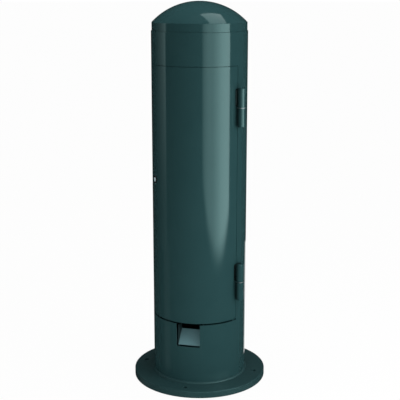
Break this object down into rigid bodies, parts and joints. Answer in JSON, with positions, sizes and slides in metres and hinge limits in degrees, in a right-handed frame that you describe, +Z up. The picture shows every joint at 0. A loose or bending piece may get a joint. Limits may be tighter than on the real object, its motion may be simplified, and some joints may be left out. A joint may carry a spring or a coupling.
{
  "type": "power pedestal",
  "caption": "Round steel power pedestal with a domed cap, a curved hinged door with a cam lock, a cord notch and an anchor plate, with breakers and outlets inside.",
  "frame": {"origin": "centre of the anchor plate's underside", "axes": "+Z up along the tube's axis, -Y towards the door and the cord notch"},
  "size_m": [0.3909, 0.391, 1.105],
  "materials": {
    "green_coat": "glossy polyester powder coat, dark green",
    "black_steel": "black painted steel",
    "zinc_steel": "zinc plated steel",
    "stainless": "stainless steel",
    "bright_lock": "plated, bright",
    "chute_coat": "matt grey green primer coat",
    "seal_rubber": "closed cell rubber",
    "grey_panel": "light grey powder coat",
    "black_moulding": "moulded, black",
    "ivory_moulding": "moulded, white",
    "red_button": "moulded, red",
    "toggle_moulding": "moulded, dark grey",
    "tinned_bar": "tin plated",
    "copper_lug": "bare copper"
  },
  "bodies": {
    "pedestal": {"base_plate": "green_coat", "pedestal_tube": "green_coat", "dome_cap": "green_coat", "cord_chute": "chute_coat", "cap_spigot": "black_steel", "cap_bridge": "black_steel", "lock_side_strip": "green_coat", "hinge_side_strip": "green_coat", "head_strip": "green_coat", "cap_stud": "zinc_steel", "cap_nut": "zinc_steel", "door_seal": "seal_rubber", "upper_hinge_post": "green_coat", "upper_hinge_pin": "stainless", "upper_hinge_washer": "stainless", "lower_hinge_post": "green_coat", "lower_hinge_pin": "stainless", "lower_hinge_washer": "stainless", "left_panel_rail": "grey_panel", "right_panel_rail": "grey_panel", "equipment_panel": "grey_panel", "terminal_cover": "grey_panel", "panel_screws": "stainless", "device_screws": "stainless", "breaker_rail": "zinc_steel", "large_breaker": "black_moulding", "round_breaker": "black_moulding", "left_breaker": "black_moulding", "right_breaker": "black_moulding", "large_receptacle": "black_moulding", "round_receptacle": "black_moulding", "left_outlet": "ivory_moulding", "right_outlet": "ivory_moulding", "left_cover_plate": "ivory_moulding", "right_cover_plate": "ivory_moulding", "service_plate": "zinc_steel", "feeder_block": "black_moulding", "feeder_screws": "tinned_bar", "ground_bar": "tinned_bar", "neutral_bar": "tinned_bar", "neutral_standoffs": "red_button", "bar_screws": "stainless", "ground_lug": "copper_lug", "ground_bolt": "zinc_steel"},
    "door": {"door_shell": "green_coat", "upper_hinge_sleeve": "green_coat", "lower_hinge_sleeve": "green_coat", "lock_housing": "black_steel", "lock_nut": "zinc_steel"},
    "lock": {"lock_plug": "bright_lock", "lock_cam": "zinc_steel", "lock_cam_screw": "zinc_steel"},
    "large_toggle": {"large_toggle": "toggle_moulding"},
    "round_toggle": {"round_toggle": "toggle_moulding"},
    "left_toggle": {"left_toggle": "toggle_moulding"},
    "right_toggle": {"right_toggle": "toggle_moulding"},
    "left_test_button": {"left_test_button": "black_moulding"},
    "left_reset_button": {"left_reset_button": "red_button"},
    "right_test_button": {"right_test_button": "black_moulding"},
    "right_reset_button": {"right_reset_button": "red_button"}
  },
  "joints": [
    {"name": "door_hinge", "type": "hinge", "parent": "pedestal", "child": "door", "pos_m": [0.13522, -0.06161, 0.5666], "axis": [0, 0, 1], "range_deg": [0, 165]},
    {"name": "lock_turn", "type": "hinge", "parent": "door", "child": "lock", "pos_m": [-0.10816, -0.08327, 0.608], "axis": [-0.7924, -0.61, 0], "range_deg": [0, 90]},
    {"name": "large_toggle_swing", "type": "hinge", "parent": "pedestal", "child": "large_toggle", "pos_m": [-0.027, -0.042, 0.8519], "axis": [1, 0, 0], "range_deg": [0, 68]},
    {"name": "round_toggle_swing", "type": "hinge", "parent": "pedestal", "child": "round_toggle", "pos_m": [0, -0.042, 0.8519], "axis": [1, 0, 0], "range_deg": [0, 68]},
    {"name": "left_toggle_swing", "type": "hinge", "parent": "pedestal", "child": "left_toggle", "pos_m": [0.018, -0.042, 0.8519], "axis": [1, 0, 0], "range_deg": [0, 68]},
    {"name": "right_toggle_swing", "type": "hinge", "parent": "pedestal", "child": "right_toggle", "pos_m": [0.036, -0.042, 0.8519], "axis": [1, 0, 0], "range_deg": [0, 68]},
    {"name": "left_test_button_press", "type": "slide", "parent": "pedestal", "child": "left_test_button", "axis": [0, 1, 0], "range_m": [0, 0.001], "stiffness_N_per_m": 800},
    {"name": "left_reset_button_press", "type": "slide", "parent": "pedestal", "child": "left_reset_button", "axis": [0, 1, 0], "range_m": [0, 0.001], "stiffness_N_per_m": 800},
    {"name": "right_test_button_press", "type": "slide", "parent": "pedestal", "child": "right_test_button", "axis": [0, 1, 0], "range_m": [0, 0.001], "stiffness_N_per_m": 800},
    {"name": "right_reset_button_press", "type": "slide", "parent": "pedestal", "child": "right_reset_button", "axis": [0, 1, 0], "range_m": [0, 0.001], "stiffness_N_per_m": 800}
  ]
}
